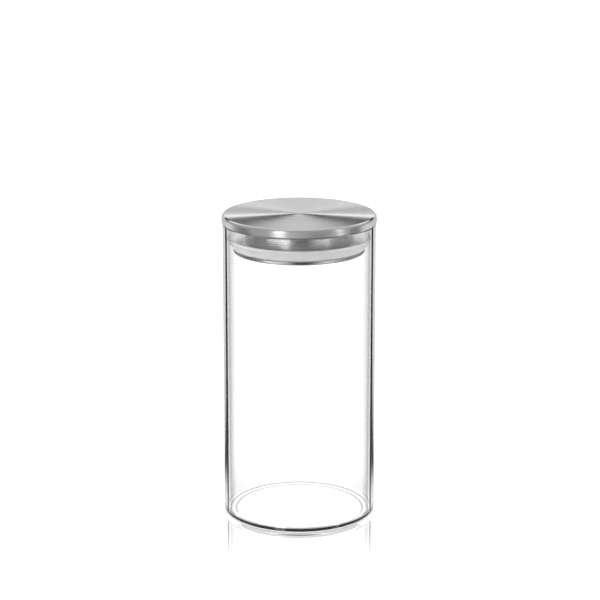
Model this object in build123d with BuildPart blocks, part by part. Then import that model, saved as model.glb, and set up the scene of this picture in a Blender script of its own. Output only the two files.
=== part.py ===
"""Lidded glass canister.

A straight borosilicate jar is closed by a stainless steel stopper lid.
The lid's cap rests on the jar's rim, and a cupped silicone seal around the
lid's plug grips the inside of the mouth.

Millimetres.  +Z is up, and the origin is the centre of the jar's foot.
"""

from build123d import *
import os

# ---- Driving dimensions ----

# Jar
jar_diameter = 95.0
jar_height = 188.2
jar_wall = 2.2
jar_floor = 3.0
heel_radius = 3.2
floor_corner_radius = 2.4
rim_radius = 0.85
foot_ring_width = 4.5
punt_depth = 0.8
punt_edge_radius = 2.0

# Cap, pressed from thin sheet
cap_overhang = 0.6
cap_height = 5.3
cap_sheet = 0.6
cap_top_radius = 1.8
cap_bottom_radius = 0.9
hem_width = 3.6

# Neck, one pressing with a brim that the cap's hem holds
neck_sheet = 0.6
neck_depth = 14.8
neck_bead_out = 0.9
neck_bead_height = 2.8
neck_foot_flange = 4.2
neck_fillet = 0.8

# Seal
seal_reach = 10.9
seal_web = 2.6
seal_lip_rise = 6.7
seal_lip_thickness = 0.8
seal_bulge = 0.5
seal_bulge_height = 0.9
seal_lip_height = 1.0
seal_cup_sag = 2.0
seal_shoulder_lift = 0.2
seal_taper_height = 2.5

# Base pan
pan_sheet = 0.6
pan_height = 2.3
pan_gap = 4.4
pan_edge_radius = 1.4

# Moulded core
core_wall = 2.2
core_floor = 2.6
pillar_radius = 3.6

# Moulded insert inside the cap
insert_web = 1.6
insert_ring_width = 2.4
boss_radius = 3.4

# Screws
screw_count = 3
screw_radius = 1.5
screw_head_radius = 2.8
screw_head_height = 2.0
screw_head_room = 1.0
screw_grip_in_boss = 2.2

# Clearances
seal_to_glass = 0.2
seal_to_steel = 0.05
seal_to_core = 0.15
core_to_neck = 0.1
insert_to_cap = 0.1
brim_to_cap = 0.15
screw_to_hole = 0.1
screw_to_boss = 0.03

# ---- Worked-out sizes ----

jar_radius = jar_diameter / 2
bore_radius = jar_radius - jar_wall
punt_radius = jar_radius - heel_radius - foot_ring_width

cap_radius = jar_radius + cap_overhang
cap_base_z = jar_height
cap_top_z = cap_base_z + cap_height
cap_inner_radius = cap_radius - cap_sheet
cap_ceiling_z = cap_top_z - cap_sheet
hem_top_z = cap_base_z + cap_sheet
hem_inner_radius = cap_radius - hem_width

brim_radius = cap_inner_radius - brim_to_cap
brim_top_z = hem_top_z + neck_sheet
bead_radius = bore_radius - seal_reach
neck_radius = bead_radius - neck_bead_out
neck_inner_radius = neck_radius - neck_sheet
foot_z = hem_top_z - neck_depth - neck_sheet
bead_top_z = foot_z + neck_bead_height
foot_hole_radius = neck_inner_radius - neck_foot_flange

pan_radius = bore_radius - pan_gap
pan_inner_radius = pan_radius - pan_sheet
pan_floor_z = foot_z - seal_web
pan_base_z = pan_floor_z - pan_sheet
pan_rim_z = pan_base_z + pan_height

core_radius = neck_inner_radius - core_to_neck
core_bottom_z = foot_z + neck_sheet
core_floor_z = core_bottom_z + core_floor
spindle_radius = foot_hole_radius - core_to_neck
pillar_circle = spindle_radius - core_wall - screw_head_radius - screw_head_room

insert_radius = cap_radius - cap_top_radius - insert_to_cap
insert_ceiling_z = cap_ceiling_z - insert_to_cap
screw_tip_z = brim_top_z + screw_grip_in_boss

seal_radius = bore_radius - seal_to_glass
seal_wall_radius = seal_radius - seal_bulge
seal_bore_radius = spindle_radius + seal_to_core
seal_root_radius = pan_inner_radius - seal_to_core
seal_root_chamfer = pan_edge_radius - pan_sheet
seal_bottom_z = pan_floor_z + seal_to_steel
seal_web_top_z = foot_z - seal_to_steel
seal_shoulder_z = pan_rim_z + seal_shoulder_lift
seal_top_z = foot_z + seal_lip_rise


os.makedirs("parts", exist_ok=True)

# ---- Jar: wall, rounded heel, foot ring and shallow punt, in one piece of glass ----

with BuildPart() as glass_jar:
    with BuildSketch(Plane.XZ):
        with BuildLine():
            FilletPolyline(
                (0, punt_depth),
                (punt_radius, punt_depth),
                (punt_radius + punt_depth, 0),
                (jar_radius, 0),
                (jar_radius, jar_height),
                (bore_radius, jar_height),
                (bore_radius, jar_floor),
                (0, jar_floor),
                radius=[
                    punt_edge_radius,
                    punt_edge_radius / 4,
                    heel_radius,
                    rim_radius,
                    rim_radius,
                    floor_corner_radius,
                ],
            )
            Line((0, jar_floor), (0, punt_depth))
        make_face()
    revolve(axis=Axis.Z)

glass_jar.part.label = "glass_jar"
export_step(glass_jar.part, "parts/glass_jar.step")

# ---- Cap: a shallow pressed shell, hemmed inwards at its lower edge ----

with BuildPart() as cap_shell:
    with BuildSketch(Plane.XZ):
        with BuildLine():
            FilletPolyline(
                (0, cap_top_z),
                (cap_radius, cap_top_z),
                (cap_radius, cap_base_z),
                (hem_inner_radius, cap_base_z),
                (hem_inner_radius, hem_top_z),
                (cap_inner_radius, hem_top_z),
                (cap_inner_radius, cap_ceiling_z),
                (0, cap_ceiling_z),
                radius=[
                    cap_top_radius,
                    cap_bottom_radius,
                    cap_sheet * 0.45,
                    cap_sheet * 0.45,
                    cap_bottom_radius - cap_sheet,
                    cap_top_radius - cap_sheet,
                ],
            )
            Line((0, cap_ceiling_z), (0, cap_top_z))
        make_face()
    revolve(axis=Axis.Z)

cap_shell.part.label = "cap_shell"
export_step(cap_shell.part, "parts/cap_shell.step")

# ---- Neck: brim on the hem, straight drum, rolled bead and inward foot flange ----

with BuildPart() as neck_drum:
    with BuildSketch(Plane.XZ):
        with BuildLine():
            FilletPolyline(
                (brim_radius, hem_top_z),
                (neck_radius, hem_top_z),
                (neck_radius, bead_top_z),
                (bead_radius, bead_top_z - neck_bead_out),
                (bead_radius, foot_z),
                (foot_hole_radius, foot_z),
                (foot_hole_radius, core_bottom_z),
                (bead_radius - neck_sheet, core_bottom_z),
                (bead_radius - neck_sheet, bead_top_z - neck_bead_out),
                (neck_inner_radius, bead_top_z),
                (neck_inner_radius, brim_top_z),
                (brim_radius, brim_top_z),
                close=True,
                radius=[
                    neck_sheet * 0.45,
                    neck_fillet,
                    neck_fillet / 2,
                    neck_fillet / 2,
                    neck_fillet + neck_sheet,
                    neck_sheet * 0.2,
                    neck_sheet * 0.2,
                    neck_fillet,
                    neck_fillet / 2,
                    neck_fillet / 2,
                    neck_fillet,
                    neck_sheet * 0.45,
                ],
            )
        make_face()
    revolve(axis=Axis.Z)

neck_drum.part.label = "neck_drum"
export_step(neck_drum.part, "parts/neck_drum.step")

# ---- Core: a moulded cup inside the neck, with screw pillars and a hollow spindle below ----

with BuildPart() as plug_core:
    with BuildSketch(Plane.XZ):
        with BuildLine():
            Polyline(
                (0, core_bottom_z),
                (spindle_radius - core_wall, core_bottom_z),
                (spindle_radius - core_wall, pan_floor_z),
                (spindle_radius, pan_floor_z),
                (spindle_radius, core_bottom_z),
                (core_radius, core_bottom_z),
                (core_radius, brim_top_z),
                (core_radius - core_wall, brim_top_z),
                (core_radius - core_wall, core_floor_z),
                (0, core_floor_z),
                close=True,
            )
        make_face()
    revolve(axis=Axis.Z)
    with BuildSketch(Plane.XY.offset(core_floor_z)):
        with PolarLocations(pillar_circle, screw_count):
            Circle(pillar_radius)
    extrude(amount=brim_top_z - core_floor_z)
    with BuildSketch(Plane.XY.offset(core_bottom_z)):
        with PolarLocations(pillar_circle, screw_count):
            Circle(screw_radius + screw_to_hole)
    extrude(amount=brim_top_z - core_bottom_z, mode=Mode.SUBTRACT)

plug_core.part.label = "plug_core"
export_step(plug_core.part, "parts/plug_core.step")

# ---- Insert: a moulded disc that backs the cap and takes the screws in blind bosses ----

with BuildPart() as cap_insert:
    with BuildSketch(Plane.XY.offset(brim_top_z)):
        Circle(insert_radius)
    extrude(amount=insert_web)
    with BuildSketch(Plane.XY.offset(brim_top_z + insert_web)):
        Circle(insert_radius)
        Circle(insert_radius - insert_ring_width, mode=Mode.SUBTRACT)
        with PolarLocations(pillar_circle, screw_count):
            Circle(boss_radius)
    extrude(amount=insert_ceiling_z - brim_top_z - insert_web)
    with BuildSketch(Plane.XY.offset(brim_top_z)):
        with PolarLocations(pillar_circle, screw_count):
            Circle(screw_radius + screw_to_boss)
    extrude(amount=screw_tip_z - brim_top_z + screw_to_hole, mode=Mode.SUBTRACT)

cap_insert.part.label = "cap_insert"
export_step(cap_insert.part, "parts/cap_insert.step")

# ---- Seal: a root held between neck and pan, and a thin cupped lip against the glass ----

with BuildPart() as silicone_seal:
    with BuildSketch(Plane.XZ):
        with BuildLine():
            Polyline(
                (seal_bore_radius, seal_web_top_z),
                (seal_bore_radius, seal_bottom_z),
                (seal_root_radius - seal_root_chamfer, seal_bottom_z),
                (seal_root_radius, seal_bottom_z + seal_root_chamfer),
                (seal_root_radius, seal_shoulder_z),
                (pan_radius, seal_shoulder_z),
                (seal_wall_radius, seal_shoulder_z + seal_taper_height),
                (seal_wall_radius, seal_top_z - seal_lip_height - seal_bulge_height),
                (seal_radius, seal_top_z - seal_lip_height),
                (seal_radius, seal_top_z),
                (seal_radius - seal_lip_thickness, seal_top_z),
            )
            SagittaArc(
                (seal_radius - seal_lip_thickness, seal_top_z),
                (bead_radius, seal_web_top_z),
                -seal_cup_sag,
            )
            Line((bead_radius, seal_web_top_z), (seal_bore_radius, seal_web_top_z))
        make_face()
    revolve(axis=Axis.Z)

silicone_seal.part.label = "silicone_seal"
export_step(silicone_seal.part, "parts/silicone_seal.step")

# ---- Base pan: a shallow pressed saucer that closes the plug from below ----

with BuildPart() as base_pan:
    with BuildSketch(Plane.XZ):
        with BuildLine():
            FilletPolyline(
                (0, pan_base_z),
                (pan_radius, pan_base_z),
                (pan_radius, pan_rim_z),
                (pan_inner_radius, pan_rim_z),
                (pan_inner_radius, pan_floor_z),
                (0, pan_floor_z),
                radius=[
                    pan_edge_radius,
                    pan_sheet * 0.4,
                    pan_sheet * 0.4,
                    pan_edge_radius - pan_sheet,
                ],
            )
            Line((0, pan_floor_z), (0, pan_base_z))
        make_face()
    revolve(axis=Axis.Z)

base_pan.part.label = "base_pan"
export_step(base_pan.part, "parts/base_pan.step")

# ---- Screws: from inside the spindle, up the pillars and into the insert's bosses ----

with BuildPart() as core_screws:
    with BuildSketch(Plane.XY.offset(core_bottom_z)):
        with PolarLocations(pillar_circle, screw_count):
            Circle(screw_head_radius)
    extrude(amount=-screw_head_height)
    with BuildSketch(Plane.XY.offset(core_bottom_z)):
        with PolarLocations(pillar_circle, screw_count):
            Circle(screw_radius)
    extrude(amount=screw_tip_z - core_bottom_z)

core_screws.part.label = "core_screws"
export_step(core_screws.part, "parts/core_screws.step")
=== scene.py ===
"""Looks of the lidded glass canister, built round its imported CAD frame.

Metres.  The pieces seen from outside are bodies of revolution about the jar's axis, each turned from an
outline of (radius, height, corner radius) points.  The ones inside the lid are the CAD's own.  All materials
are procedural.
"""

import math

import bpy
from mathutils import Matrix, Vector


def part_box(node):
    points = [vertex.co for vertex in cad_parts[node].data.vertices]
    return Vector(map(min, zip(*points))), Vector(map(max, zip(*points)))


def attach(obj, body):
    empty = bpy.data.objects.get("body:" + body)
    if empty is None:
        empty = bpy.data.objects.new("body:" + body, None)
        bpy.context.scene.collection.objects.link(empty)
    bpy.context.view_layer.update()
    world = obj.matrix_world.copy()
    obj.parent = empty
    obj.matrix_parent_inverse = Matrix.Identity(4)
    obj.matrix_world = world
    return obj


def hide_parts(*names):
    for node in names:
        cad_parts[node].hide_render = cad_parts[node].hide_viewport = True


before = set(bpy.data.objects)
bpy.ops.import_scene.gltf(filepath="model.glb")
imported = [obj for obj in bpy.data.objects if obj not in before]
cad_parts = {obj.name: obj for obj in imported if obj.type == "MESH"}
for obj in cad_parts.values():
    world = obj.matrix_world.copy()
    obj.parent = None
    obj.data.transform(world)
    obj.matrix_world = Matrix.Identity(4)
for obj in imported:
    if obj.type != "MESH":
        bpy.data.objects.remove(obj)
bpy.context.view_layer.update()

MM = 0.001

# Meshes: steps round the axis and along a rounded corner, how far a supporting point is from a side's end,
# and how near the axis a point counts as on it.
TURN_STEPS = 256
CORNER_STEPS = 10
SUPPORT = 0.12 * MM
ON_AXIS = 0.0001 * MM

# The canister: sizes that its pieces share.
SHEET = 0.6 * MM
NECK_BEAD = 0.9 * MM
NECK_FLANGE = 4.2 * MM
SEAL_TO_GLASS = 0.2 * MM
SEAL_REACH = 10.9 * MM
SEAL_TO_STEEL = 0.05 * MM
SEAL_TO_CORE = 0.15 * MM
CORE_TO_NECK = 0.1 * MM

# Brightness of the world and the table: for the eye, and for dull surfaces, which it lights from the
# front, from behind and from below.
WHITE = 1.3
FILL_IN_FRONT = 0.5
FILL_BEHIND = 6.0
FLOOR_FILL = 0.7

# For gloss: the upward part of a direction where the panels that stand behind glass end, how much brighter
# than on the table they are there, the far table, and the share of the panels that is left under the jar.
PANEL_TOP = 0.2
STANDING_GAIN = 2.0
FAR_TABLE = 0.85
UNDER_JAR = 0.4

# On the table, as distances from the jar's axis: the shade round the foot that gloss in the open meets,
# where the far table begins, and how far the mirror image of the foot reaches.
SHADE_LEVEL = 0.05
SHADE_FROM = 0.12
SHADE_TO = 0.24
FAR_FROM = 1.2
FAR_TO = 1.8
MIRROR_SHARE = 0.8
MIRROR_REACH = 0.125

# (upward part of the direction, brightness) stops of the sky, for gloss in the open.
SKY_BANDS = (
    (0.0, 3.0), (0.04, 1.6), (0.09, 0.5), (0.15, 0.65), (0.22, 0.9), (0.245, 1.8), (0.265, 1.8),
    (0.285, 0.0), (0.41, 0.0), (0.45, 1.4), (0.60, 1.25), (0.80, 0.8), (0.92, 0.7), (1.0, 1.0),
)

# (degrees from the canister's front, brightness) stops of the panels and dark flags round the canister:
# for gloss in the open, for gloss behind the jar's wall, and for the rest, such as sharp mirror images.
OPEN_PANELS = (
    (-180, 0.75), (-150, 0.9), (-122, 1.9), (-110, 0.7), (-102, 0.0), (-80, 0.0), (-74, 0.75), (-56, 0.7),
    (-46, 0.9), (-34, 1.3), (-22, 1.2), (-12, 1.0), (2, 0.9), (20, 0.4), (32, 0.3), (50, 0.75), (68, 1.3),
    (76, 0.9), (82, 0.0), (100, 0.0), (106, 1.5), (116, 1.9), (150, 0.9), (180, 0.75),
)
GLASS_PANELS = (
    (-180, 1.0), (-150, 0.9), (-138, 0.2), (-122, 0.9), (-96, 0.4), (-76, 0.6), (-62, 2.6), (-50, 4.2),
    (-38, 3.4), (-24, 2.2), (-14, 1.0), (-6, 0.1), (10, 0.0), (20, 0.3), (32, 1.4), (44, 2.6), (54, 2.8),
    (66, 2.0), (78, 1.5), (88, 0.7), (104, 1.0), (122, 0.9), (138, 0.2), (150, 0.9), (180, 1.0),
)
MIRROR_PANELS = (
    (-180, 0.75), (-150, 0.75), (-142, 0.0), (-125, 0.2), (-90, 0.5), (0, 0.6), (90, 0.5), (125, 0.2),
    (142, 0.0), (150, 0.75), (180, 0.75),
)


# ---------------------------------------------------------------- turned meshes

def unit(x, y):
    """The direction of (x, y), with length 1."""
    length = math.hypot(x, y)
    return x / length, y / length


def corner_arc(before, corner, after, fillet):
    """Points of the arc of that radius in a corner, from one side's tangent point to the other's."""
    into = unit(before[0] - corner[0], before[1] - corner[1])
    out = unit(after[0] - corner[0], after[1] - corner[1])
    half = math.acos(max(-1.0, min(1.0, into[0] * out[0] + into[1] * out[1]))) / 2
    reach = fillet / math.tan(half)
    middle = unit(into[0] + out[0], into[1] + out[1])
    centre = (
        corner[0] + middle[0] * fillet / math.sin(half),
        corner[1] + middle[1] * fillet / math.sin(half),
    )
    start = (corner[0] + into[0] * reach, corner[1] + into[1] * reach)
    first = math.atan2(start[1] - centre[1], start[0] - centre[0])
    side = into[0] * out[1] - into[1] * out[0]
    sweep = (math.pi - 2 * half) * (-1 if side < 0 else 1)
    arc = []
    for step in range(CORNER_STEPS + 1):
        angle = first - sweep * step / CORNER_STEPS
        arc.append((centre[0] + fillet * math.cos(angle), centre[1] + fillet * math.sin(angle)))
    return arc


def rounded(corners):
    """The outline through (radius, height, corner radius) points, with an arc where that radius isn't 0."""
    points = []
    for i, (r, z, fillet) in enumerate(corners):
        if fillet == 0:
            points.append((r, z))
            continue
        before = corners[i - 1]
        after = corners[(i + 1) % len(corners)]
        points += corner_arc((before[0], before[1]), (r, z), (after[0], after[1]), fillet)
    return points


def cup_curve(start, end, sag):
    """Points of the hollow arc from start to end, bulging down and outwards by sag."""
    chord = math.hypot(end[0] - start[0], end[1] - start[1])
    radius = (chord * chord / 4 + sag * sag) / (2 * sag)
    along = unit(end[0] - start[0], end[1] - start[1])
    across = (along[1], -along[0])
    middle = ((start[0] + end[0]) / 2, (start[1] + end[1]) / 2)
    centre = (middle[0] - across[0] * (radius - sag), middle[1] - across[1] * (radius - sag))
    half = math.asin(chord / 2 / radius)
    points = []
    steps = 3 * CORNER_STEPS
    for step in range(steps + 1):
        angle = half * (2 * step / steps - 1)
        points.append((
            centre[0] + radius * (across[0] * math.cos(angle) + along[0] * math.sin(angle)),
            centre[1] + radius * (across[1] * math.cos(angle) + along[1] * math.sin(angle)),
        ))
    return points


def with_support(points, closed):
    """The outline with a point near each end of a long side, so that smooth shading keeps it straight."""
    supported = []
    count = len(points)
    last = count if closed else count - 1
    for i in range(count):
        supported.append(points[i])
        if i >= last:
            continue
        a = points[i]
        b = points[(i + 1) % count]
        length = math.hypot(b[0] - a[0], b[1] - a[1])
        if length > 5 * SUPPORT:
            for share in (SUPPORT / length, 1 - SUPPORT / length):
                supported.append((a[0] + (b[0] - a[0]) * share, a[1] + (b[1] - a[1]) * share))
    return supported


def band_faces(upper, lower):
    """The faces between two rings of vertices; a ring of one vertex is a point on the axis."""
    faces = []
    for step in range(TURN_STEPS):
        after = (step + 1) % TURN_STEPS
        if len(upper) == 1:
            faces.append((upper[0], lower[step], lower[after]))
        elif len(lower) == 1:
            faces.append((upper[step], lower[0], upper[after]))
        else:
            faces.append((upper[step], lower[step], lower[after], upper[after]))
    return faces


def turned_mesh(name, outline, closed):
    """A smooth mesh turned about +Z from an outline that runs outside down, inside up."""
    vertices = []
    rings = []
    for r, z in with_support(outline, closed):
        if r < ON_AXIS:
            rings.append([len(vertices)])
            vertices.append((0.0, 0.0, z))
            continue
        rings.append(list(range(len(vertices), len(vertices) + TURN_STEPS)))
        for step in range(TURN_STEPS):
            angle = 2 * math.pi * step / TURN_STEPS
            vertices.append((r * math.cos(angle), r * math.sin(angle), z))
    faces = []
    for i in range(len(rings) if closed else len(rings) - 1):
        faces += band_faces(rings[i], rings[(i + 1) % len(rings)])
    mesh = bpy.data.meshes.new(name)
    mesh.from_pydata(vertices, [], faces)
    mesh.validate()
    for polygon in mesh.polygons:
        polygon.use_smooth = True
    return mesh


def turned(name, outline, closed, material, body, node):
    """A turned piece that rides on a body and stands for a CAD node."""
    mesh = turned_mesh(name, outline, closed)
    mesh.materials.append(material)
    piece = bpy.data.objects.new(name, mesh)
    bpy.context.collection.objects.link(piece)
    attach(piece, body)
    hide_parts(node)
    return piece


def second_material(piece, material, takes_second):
    """Gives the faces whose (distance from the axis, height) pass the test a second material."""
    piece.data.materials.append(material)
    for polygon in piece.data.polygons:
        across = math.hypot(polygon.center[0], polygon.center[1])
        polygon.material_index = 1 if takes_second(across, polygon.center[2]) else 0


# ---------------------------------------------------------------- shader nodes

def new_material(name):
    """An empty node material with its output node."""
    material = bpy.data.materials.new(name)
    material.use_nodes = True
    tree = material.node_tree
    tree.nodes.clear()
    output = tree.nodes.new("ShaderNodeOutputMaterial")
    return material, tree, output


def maths(tree, operation, *inputs):
    """The output of one Math node, fed with sockets or plain numbers."""
    node = tree.nodes.new("ShaderNodeMath")
    node.operation = operation
    for socket, value in zip(node.inputs, inputs):
        if isinstance(value, (int, float)):
            socket.default_value = value
        else:
            tree.links.new(value, socket)
    return node.outputs[0]


def mapped(tree, value, low, high, to_low, to_high, smooth=False):
    """A value carried from one range to another, and held at the ends."""
    node = tree.nodes.new("ShaderNodeMapRange")
    node.interpolation_type = "SMOOTHSTEP" if smooth else "LINEAR"
    tree.links.new(value, node.inputs["Value"])
    node.inputs["From Min"].default_value = low
    node.inputs["From Max"].default_value = high
    node.inputs["To Min"].default_value = to_low
    node.inputs["To Max"].default_value = to_high
    return node.outputs["Result"]


def blend(tree, share, first, second):
    """first where share is 0, second where it is 1; both are sockets or plain numbers."""
    kept = maths(tree, "MULTIPLY", maths(tree, "SUBTRACT", 1.0, share), first)
    return maths(tree, "ADD", kept, maths(tree, "MULTIPLY", share, second))


def mix_shaders(tree, share, first, second, output):
    """Joins two shaders by share, 0 for the first and 1 for the second, and feeds the output."""
    mix = tree.nodes.new("ShaderNodeMixShader")
    tree.links.new(share, mix.inputs[0])
    tree.links.new(first.outputs[0], mix.inputs[1])
    tree.links.new(second.outputs[0], mix.inputs[2])
    tree.links.new(mix.outputs[0], output.inputs["Surface"])


def ramp(tree, position, stops):
    """Brightness by position, 0 to 1, straight between the (position, brightness) stops."""
    node = tree.nodes.new("ShaderNodeValToRGB")
    tree.links.new(position, node.inputs[0])
    elements = node.color_ramp.elements
    elements.remove(elements[1])
    for i, (place, shade) in enumerate(stops):
        element = elements[0] if i == 0 else elements.new(place)
        element.position = place
        element.color = (shade, shade, shade, 1.0)
    return node.outputs["Color"]


def scaled_ramp(tree, position, stops):
    """A ramp of brightness that may be above 1."""
    brightest = max(shade for _, shade in stops)
    shares = ramp(tree, position, [(place, shade / brightest) for place, shade in stops])
    return maths(tree, "MULTIPLY", shares, brightest)


def place_parts(tree, kind):
    """X, Y and Z of a place on an object (kind Object), or of a direction in the world (kind Generated)."""
    place = tree.nodes.new("ShaderNodeTexCoord")
    parts = tree.nodes.new("ShaderNodeSeparateXYZ")
    tree.links.new(place.outputs[kind], parts.inputs[0])
    return parts.outputs


def from_axis(tree, parts):
    """The distance from the jar's axis."""
    squares = [maths(tree, "MULTIPLY", parts[i], parts[i]) for i in (0, 1)]
    return maths(tree, "SQRT", maths(tree, "ADD", *squares))


def ring_place(tree, parts, radius):
    """A place for grain that runs round the axis without a seam, and hardly changes on its way round."""
    round_scale = 0.00025
    joined = tree.nodes.new("ShaderNodeCombineXYZ")
    for i in (0, 1):
        direction = maths(tree, "DIVIDE", parts[i], radius)
        tree.links.new(maths(tree, "MULTIPLY", direction, round_scale), joined.inputs[i])
    tree.links.new(maths(tree, "ADD", radius, parts[2]), joined.inputs[2])
    return joined.outputs[0]


def noise(tree, place, scale, detail=3.0):
    """Noise, mostly within 0.3 to 0.7; a larger scale makes it finer."""
    node = tree.nodes.new("ShaderNodeTexNoise")
    node.inputs["Scale"].default_value = scale
    node.inputs["Detail"].default_value = detail
    tree.links.new(place, node.inputs["Vector"])
    return node.outputs["Fac"]


def spread(tree, grain, low, high):
    """Noise carried from the range that it mostly keeps to into another one."""
    return mapped(tree, grain, 0.3, 0.7, low, high)


def colour_between(tree, factor, dark, light):
    """A colour between dark, at 0, and light, at 1."""
    node = tree.nodes.new("ShaderNodeMix")
    node.data_type = "RGBA"
    tree.links.new(factor, node.inputs["Factor"])
    node.inputs["A"].default_value = (*dark, 1.0)
    node.inputs["B"].default_value = (*light, 1.0)
    return node.outputs["Result"]


def bump(tree, height, distance, under=None):
    """The normal of a height that is raised by distance, on top of another bump if one is given."""
    node = tree.nodes.new("ShaderNodeBump")
    node.invert = distance < 0.0
    node.inputs["Strength"].default_value = 1.0
    node.inputs["Distance"].default_value = abs(distance)
    tree.links.new(height, node.inputs["Height"])
    if under is not None:
        tree.links.new(under, node.inputs["Normal"])
    return node.outputs[0]


def turned_away(tree, normal=None):
    """0 where the surface, or that normal, faces the eye, up to 1 at its outline."""
    weight = tree.nodes.new("ShaderNodeLayerWeight")
    weight.inputs["Blend"].default_value = 0.5
    if normal is not None:
        tree.links.new(normal, weight.inputs["Normal"])
    return weight.outputs["Facing"]


def past(tree, depth):
    """1 for light that has met such a surface on its way to the eye, else 0."""
    path = tree.nodes.new("ShaderNodeLightPath")
    return maths(tree, "MINIMUM", path.outputs[depth], 1.0)


def gloss_in_the_open(tree):
    """1 for light that brushed metal in the open sends to the eye, but not for a sharp mirror image."""
    path = tree.nodes.new("ShaderNodeLightPath")
    unbent = maths(tree, "LESS_THAN", path.outputs["Transmission Depth"], 0.5)
    unsharp = maths(tree, "SUBTRACT", 1.0, path.outputs["Is Singular Ray"])
    return maths(tree, "MULTIPLY", past(tree, "Glossy Depth"), maths(tree, "MULTIPLY", unbent, unsharp))


def gloss_behind_glass(tree):
    """1 for light that went in and out through the jar's wall on each side of a glossy piece."""
    path = tree.nodes.new("ShaderNodeLightPath")
    twice = maths(tree, "GREATER_THAN", path.outputs["Transmission Depth"], 3.5)
    return maths(tree, "MULTIPLY", past(tree, "Glossy Depth"), twice)


# ---------------------------------------------------------------- materials

def brushed_steel(name, dark, light, rough_low, rough_high, anisotropic, lean=0.0):
    """Stainless steel brushed round the axis: fine rings in colour, roughness and bump.

    A lean above 0 is for a face turned on a lathe: its grooves all face outwards by that many degrees.
    """
    material, tree, output = new_material(name)
    parts = place_parts(tree, "Object")
    radius = from_axis(tree, parts)
    place = ring_place(tree, parts, radius)
    fine = maths(tree, "MULTIPLY", noise(tree, place, 5200.0), 0.65)
    broad = maths(tree, "MULTIPLY", noise(tree, place, 900.0), 0.35)
    grain = maths(tree, "ADD", fine, broad)
    shader = tree.nodes.new("ShaderNodeBsdfPrincipled")
    shader.inputs["Metallic"].default_value = 1.0
    shader.inputs["Anisotropic"].default_value = anisotropic
    shader.inputs["Anisotropic Rotation"].default_value = 0.25
    colour = colour_between(tree, spread(tree, grain, 0.0, 1.0), dark, light)
    tree.links.new(colour, shader.inputs["Base Color"])
    tree.links.new(spread(tree, grain, rough_low, rough_high), shader.inputs["Roughness"])
    tangent = tree.nodes.new("ShaderNodeTangent")
    tangent.direction_type = "RADIAL"
    tangent.axis = "Z"
    tree.links.new(tangent.outputs[0], shader.inputs["Tangent"])
    rings = bump(tree, grain, 0.003 * MM)
    if lean > 0.0:
        rings = bump(tree, radius, -math.tan(math.radians(lean)), rings)
    tree.links.new(rings, shader.inputs["Normal"])
    tree.links.new(shader.outputs[0], output.inputs["Surface"])
    return material


def painted_edge_line(tree):
    """Painted shade: white, greying and then black in a thin line where the wall turns away, painted into
    the glass's colour in place of the dark edge that light running along a wall gives.

    How far the wall faces the eye is divided by how level the eye is, which keeps the line thin from above.
    """
    upright = tree.nodes.new("ShaderNodeCombineXYZ")
    upright.inputs["Z"].default_value = 1.0
    steep = maths(tree, "SUBTRACT", 1.0, turned_away(tree, upright.outputs[0]))
    level = maths(tree, "SQRT", maths(tree, "SUBTRACT", 1.0, maths(tree, "MULTIPLY", steep, steep)))
    towards = maths(tree, "SUBTRACT", 1.0, turned_away(tree))
    away = maths(tree, "SUBTRACT", 1.0, maths(tree, "DIVIDE", towards, level))
    white, grey, line = 1.0, 0.36, 0.0
    stops = (
        (0.0, white), (0.46, white), (0.59, grey), (0.61, grey), (0.63, white), (0.67, white),
        (0.674, line), (0.736, line), (0.741, white),
    )
    return ramp(tree, away, stops)


def clear_glass(name, with_painted_edge_line):
    """Clear borosilicate glass that lets the studio's light through to the dull pieces behind it; with the
    edge line, its colour also carries a painted dark line along the wall's outline, painted shade.
    """
    material, tree, output = new_material(name)
    glass = tree.nodes.new("ShaderNodeBsdfPrincipled")
    glass.inputs["Base Color"].default_value = (0.99, 0.995, 0.995, 1.0)
    # The glass's colour here is painted shade: a dark line where the wall turns away.
    if with_painted_edge_line:
        tree.links.new(painted_edge_line(tree), glass.inputs["Base Color"])
    glass.inputs["Roughness"].default_value = 0.0
    glass.inputs["IOR"].default_value = 1.47
    glass.inputs["Transmission Weight"].default_value = 1.0
    open_pane = tree.nodes.new("ShaderNodeBsdfTransparent")
    path = tree.nodes.new("ShaderNodeLightPath")
    lights_dull = maths(tree, "MAXIMUM", path.outputs["Is Shadow Ray"], past(tree, "Diffuse Depth"))
    mix_shaders(tree, lights_dull, glass, open_pane, output)
    return material


def milky_silicone():
    """Soft translucent silicone, a little cloudy, with a satin surface."""
    material, tree, output = new_material("milky_silicone")
    place = tree.nodes.new("ShaderNodeTexCoord").outputs["Object"]
    cloud = noise(tree, place, 160.0, 4.0)
    shader = tree.nodes.new("ShaderNodeBsdfPrincipled")
    colour = colour_between(tree, cloud, (0.92, 0.92, 0.93), (0.97, 0.97, 0.98))
    tree.links.new(colour, shader.inputs["Base Color"])
    tree.links.new(spread(tree, cloud, 0.30, 0.42), shader.inputs["Roughness"])
    shader.inputs["Subsurface Weight"].default_value = 1.0
    shader.inputs["Subsurface Radius"].default_value = (1.0, 1.0, 1.0)
    shader.inputs["Subsurface Scale"].default_value = 7.0 * MM
    shader.inputs["Subsurface Anisotropy"].default_value = 0.3
    tree.links.new(shader.outputs[0], output.inputs["Surface"])
    return material


def moulded_plastic():
    """White moulded plastic with a faint mottle, for the pieces inside the lid."""
    material, tree, output = new_material("white_plastic")
    place = tree.nodes.new("ShaderNodeTexCoord").outputs["Object"]
    mottle = noise(tree, place, 700.0)
    shader = tree.nodes.new("ShaderNodeBsdfPrincipled")
    colour = colour_between(tree, mottle, (0.74, 0.74, 0.72), (0.82, 0.82, 0.80))
    tree.links.new(colour, shader.inputs["Base Color"])
    tree.links.new(spread(tree, mottle, 0.42, 0.55), shader.inputs["Roughness"])
    tree.links.new(shader.outputs[0], output.inputs["Surface"])
    return material


# ---------------------------------------------------------------- pieces

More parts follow.
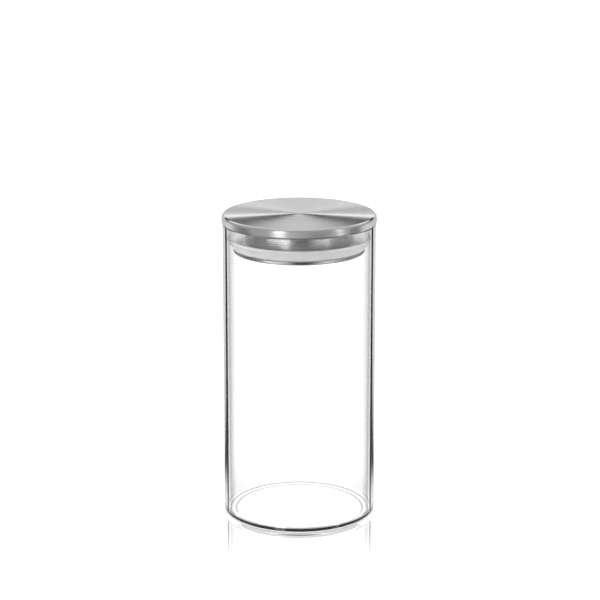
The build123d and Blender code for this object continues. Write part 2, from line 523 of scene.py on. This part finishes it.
def make_jar(painted_edge_wall_glass, plain):
    """The jar: wall, fire-polished rim, rounded heel, foot ring and shallow punt, as one glass shell."""
    _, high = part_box("glass_jar")
    radius, rim = high[0], high[2]
    wall, floor = 2.2 * MM, 3.0 * MM
    heel, foot_ring, punt = 3.2 * MM, 4.5 * MM, 0.8 * MM
    bore = radius - wall
    punt_radius = radius - heel - foot_ring
    outline = rounded([
        (0, floor, 0),
        (bore, floor, 2.4 * MM),
        (bore, rim, 0.85 * MM),
        (radius, rim, 0.85 * MM),
        (radius, 0, heel),
        (punt_radius + punt, 0, 0.5 * MM),
        (punt_radius, punt, 2.0 * MM),
        (0, punt, 0),
    ])
    # The outer wall takes the glass with the painted dark edge line; rim, heel, foot and inside take the
    # plain glass.
    jar = turned("jar_glass", outline, False, painted_edge_wall_glass, "jar", "glass_jar")
    skin_radius, skin_top = radius - 1.0 * MM, rim - 0.3 * MM
    second_material(jar, plain, lambda across, z: across <= skin_radius or not heel < z < skin_top)
    return jar


def make_cap(top_metal, shaded_side_metal):
    """The cap: a shallow pressed shell with rounded edges and a hem turned inwards."""
    low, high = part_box("cap_shell")
    radius, base, top = high[0], low[2], high[2]
    hem = 3.6 * MM
    outline = rounded([
        (0, top, 0),
        (radius, top, 1.8 * MM),
        (radius, base, 0.9 * MM),
        (radius - hem, base, 0.27 * MM),
        (radius - hem, base + SHEET, 0.27 * MM),
        (radius - SHEET, base + SHEET, 0.3 * MM),
        (radius - SHEET, top - SHEET, 1.2 * MM),
        (0, top - SHEET, 0),
    ])
    cap = turned("cap_steel", outline, False, top_metal, "lid", "cap_shell")
    # The side takes a darker copy of the steel, whose colour is painted shade.
    side_radius, side_base, side_top = radius - 2.2 * MM, base + 0.05 * MM, top - 0.3 * MM
    second_material(cap, shaded_side_metal, lambda across, z: across > side_radius and side_base < z < side_top)
    return cap


def bead_radius():
    """The radius of the bead round the neck's foot, which the seal's web starts from."""
    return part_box("silicone_seal")[1][0] + SEAL_TO_GLASS - SEAL_REACH


def hole_radius():
    """The radius of the hole in the neck's foot flange, which the moulded core's spindle passes."""
    return bead_radius() - NECK_BEAD - SHEET - NECK_FLANGE


def make_neck(material):
    """The neck: a brim inside the cap, a straight drum, a rolled bead and an inward foot flange."""
    low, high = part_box("neck_drum")
    brim, foot, top = high[0], low[2], high[2]
    bead = bead_radius()
    drum = bead - NECK_BEAD
    hole = hole_radius()
    bead_top = foot + 2.8 * MM
    bead_side = bead_top - NECK_BEAD
    outline = rounded([
        (brim, top, 0.27 * MM),
        (brim, top - SHEET, 0.27 * MM),
        (drum, top - SHEET, 0.8 * MM),
        (drum, bead_top, 0.4 * MM),
        (bead, bead_side, 0.4 * MM),
        (bead, foot, 1.4 * MM),
        (hole, foot, 0.12 * MM),
        (hole, foot + SHEET, 0.12 * MM),
        (bead - SHEET, foot + SHEET, 0.8 * MM),
        (bead - SHEET, bead_side, 0.4 * MM),
        (drum - SHEET, bead_top, 0.4 * MM),
        (drum - SHEET, top, 0.8 * MM),
    ])
    return turned("neck_steel", outline, True, material, "lid", "neck_drum")


def make_pan(material):
    """The base pan: a shallow pressed saucer with a rounded lower edge."""
    low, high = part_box("base_pan")
    radius, base, rim = high[0], low[2], high[2]
    outline = rounded([
        (0, base + SHEET, 0),
        (radius - SHEET, base + SHEET, 0.8 * MM),
        (radius - SHEET, rim, 0.24 * MM),
        (radius, rim, 0.24 * MM),
        (radius, base, 1.4 * MM),
        (0, base, 0),
    ])
    return turned("pan_steel", outline, False, material, "lid", "base_pan")


def make_seal(material):
    """The seal: a root between neck and pan, a thin cupped lip, and a wall that tapers from lip to pan."""
    low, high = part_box("silicone_seal")
    neck_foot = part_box("neck_drum")[0][2]
    pan_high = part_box("base_pan")[1]
    radius, bottom, top = high[0] + 0.1 * MM, low[2], neck_foot + 6.7 * MM
    web = neck_foot - SEAL_TO_STEEL
    root, skirt = pan_high[0] - 0.75 * MM, pan_high[0]
    shoulder = pan_high[2] + 0.45 * MM
    bore = hole_radius() - CORE_TO_NECK + SEAL_TO_CORE
    lip = radius - 0.8 * MM
    outline = [(bore, web)]
    outline += cup_curve((bead_radius(), web), (lip, top), 2.0 * MM)
    outline += rounded([
        (lip, top, 0),
        (radius, top, 0.35 * MM),
        (radius, top - 1.0 * MM, 0.5 * MM),
        (skirt, shoulder, 0.3 * MM),
        (root, shoulder, 0.02 * MM),
        (root, bottom, 0.8 * MM),
        (bore, bottom, 0),
    ])[1:]
    return turned("seal_silicone", outline, True, material, "seal", "silicone_seal")


def make_pieces():
    """Every visible piece, and the materials of the CAD pieces inside the lid."""
    # This glass's colour carries painted shade: a dark line where the wall turns away.
    painted_edge_glass = clear_glass("clear_glass", with_painted_edge_line=True)
    plain_glass = clear_glass("clear_glass_plain", with_painted_edge_line=False)
    top_metal = brushed_steel(
        "spun_steel", (0.56, 0.56, 0.57), (0.84, 0.84, 0.85), 0.12, 0.19, 0.92, lean=7.0)
    # The cap's side is the top's steel with a darker colour: painted shade.
    shaded_side_metal = brushed_steel(
        "cap_side_steel_painted_shade", (0.36, 0.36, 0.365), (0.48, 0.48, 0.485), 0.30, 0.38, 0.95)
    # The neck and the pan are the same steel with much darker colours: painted shade for their place under
    # the cap and the seal.
    shaded_neck_metal = brushed_steel("neck_steel", (0.26, 0.26, 0.265), (0.36, 0.36, 0.365), 0.25, 0.31, 0.9)
    shaded_pan_metal = brushed_steel("pan_steel", (0.18, 0.18, 0.183), (0.25, 0.25, 0.254), 0.12, 0.18, 0.6)
    screw_metal = brushed_steel("screw_steel", (0.45, 0.45, 0.46), (0.6, 0.6, 0.6), 0.25, 0.35, 0.3)
    plastic = moulded_plastic()

    make_jar(painted_edge_glass, plain_glass)
    make_cap(top_metal, shaded_side_metal)
    make_neck(shaded_neck_metal)
    make_pan(shaded_pan_metal)
    make_seal(milky_silicone())
    for node, material in (("plug_core", plastic), ("cap_insert", plastic), ("core_screws", screw_metal)):
        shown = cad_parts[node]
        shown.data.materials.clear()
        shown.data.materials.append(material)


# ---------------------------------------------------------------- studio

def make_camera():
    """A long lens in front of the canister, looking down on it."""
    data = bpy.data.cameras.new("camera")
    data.lens = 129.6
    data.sensor_width = 36.0
    data.clip_start = 0.05
    data.clip_end = 50.0
    camera = bpy.data.objects.new("camera", data)
    camera.location = (0.0005, -1.303, 0.484)
    camera.rotation_euler = (math.radians(90 - 14.87), 0.0, 0.0)
    bpy.context.collection.objects.link(camera)
    bpy.context.scene.camera = camera


def panels_round(tree, parts, panels):
    """Brightness of the panels round the canister, by the angle of a place or a direction from its front."""
    angle = maths(tree, "ARCTAN2", parts[0], maths(tree, "MULTIPLY", parts[1], -1.0))
    turn = mapped(tree, angle, -math.pi, math.pi, 0.0, 1.0)
    return scaled_ramp(tree, turn, [(0.5 + degrees / 360, shade) for degrees, shade in panels])


def make_world():
    """White for the eye, brightest behind for dull surfaces, and bands or standing panels for gloss."""
    world = bpy.data.worlds.new("studio")
    bpy.context.scene.world = world
    world.use_nodes = True
    tree = world.node_tree
    tree.nodes.clear()
    output = tree.nodes.new("ShaderNodeOutputWorld")
    sky = tree.nodes.new("ShaderNodeBackground")
    parts = place_parts(tree, "Generated")
    on_dull = mapped(tree, parts[1], -0.4, 0.4, FILL_IN_FRONT, FILL_BEHIND, smooth=True)
    strength = blend(tree, past(tree, "Diffuse Depth"), WHITE, on_dull)
    strength = blend(tree, gloss_in_the_open(tree), strength, scaled_ramp(tree, parts[2], SKY_BANDS))
    is_low = maths(tree, "LESS_THAN", parts[2], PANEL_TOP)
    low_behind_glass = maths(tree, "MULTIPLY", is_low, gloss_behind_glass(tree))
    standing = maths(tree, "MULTIPLY", panels_round(tree, parts, GLASS_PANELS), STANDING_GAIN)
    strength = blend(tree, low_behind_glass, strength, standing)
    tree.links.new(strength, sky.inputs["Strength"])
    tree.links.new(sky.outputs[0], output.inputs["Surface"])


def table_light(tree, parts, radius, foot):
    """The table's brightness: white for the eye, a fill for dull surfaces, panels and flags for gloss."""
    strength = blend(tree, past(tree, "Diffuse Depth"), WHITE, FLOOR_FILL)
    strength = blend(tree, past(tree, "Glossy Depth"), strength, panels_round(tree, parts, MIRROR_PANELS))
    near_foot = mapped(tree, radius, SHADE_FROM, SHADE_TO, SHADE_LEVEL, 1.0)
    is_far = mapped(tree, radius, FAR_FROM, FAR_TO, 0.0, 1.0)
    in_the_open = maths(tree, "MULTIPLY", panels_round(tree, parts, OPEN_PANELS), near_foot)
    in_the_open = blend(tree, is_far, in_the_open, FAR_TABLE)
    strength = blend(tree, gloss_in_the_open(tree), strength, in_the_open)
    under_jar = mapped(tree, radius, foot - 4.5 * MM, foot - 0.5 * MM, UNDER_JAR, 1.0)
    behind_glass = maths(tree, "MULTIPLY", panels_round(tree, parts, GLASS_PANELS), under_jar)
    return blend(tree, gloss_behind_glass(tree), strength, behind_glass)


def table_material():
    """A white glowing table top that mirrors what stands on it, next to its foot."""
    material, tree, output = new_material("table_top")
    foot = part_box("glass_jar")[1][0]
    parts = place_parts(tree, "Object")
    radius = from_axis(tree, parts)
    glow = tree.nodes.new("ShaderNodeEmission")
    tree.links.new(table_light(tree, parts, radius, foot), glow.inputs["Strength"])
    mirror = tree.nodes.new("ShaderNodeBsdfGlossy")
    mirror.inputs["Roughness"].default_value = 0.0
    mirror.inputs["Color"].default_value = (1.0, 1.0, 1.0, 1.0)
    fade = mapped(tree, radius, foot - 0.5 * MM, MIRROR_REACH, MIRROR_SHARE, 0.0, smooth=True)
    outside_foot = maths(tree, "GREATER_THAN", radius, foot - 4.0 * MM)
    mix_shaders(tree, maths(tree, "MULTIPLY", fade, outside_foot), glow, mirror, output)
    return material


def make_floor():
    """The table top, a square about the jar's foot."""
    half = 4.0
    mesh = bpy.data.meshes.new("table_top")
    corners = [(-half, -half, 0.0), (half, -half, 0.0), (half, half, 0.0), (-half, half, 0.0)]
    mesh.from_pydata(corners, [], [(0, 1, 2, 3)])
    mesh.materials.append(table_material())
    table = bpy.data.objects.new("table_top", mesh)
    bpy.context.collection.objects.link(table)


def softbox(name, azimuth, width, power):
    """An upright soft lamp that faces the jar's axis, at that angle in degrees from the canister's front."""
    distance, height, tall = 1.05, 0.55, 0.8
    data = bpy.data.lights.new(name, "AREA")
    data.shape = "RECTANGLE"
    data.size = width
    data.size_y = tall
    data.energy = power
    lamp = bpy.data.objects.new(name, data)
    angle = math.radians(azimuth)
    lamp.location = (distance * math.sin(angle), -distance * math.cos(angle), height)
    lamp.rotation_euler = (math.radians(90), 0.0, angle)
    lamp.visible_camera = False
    bpy.context.collection.objects.link(lamp)


def make_studio():
    """Camera, world, table and two lamps, shown in plain colours."""
    make_camera()
    make_world()
    make_floor()
    softbox("key_left", -29.0, 0.30, 3.8)
    softbox("key_right", 61.0, 0.12, 1.1)
    bpy.context.scene.view_settings.view_transform = "Standard"


# ---------------------------------------------------------------- scene

make_pieces()
make_studio()
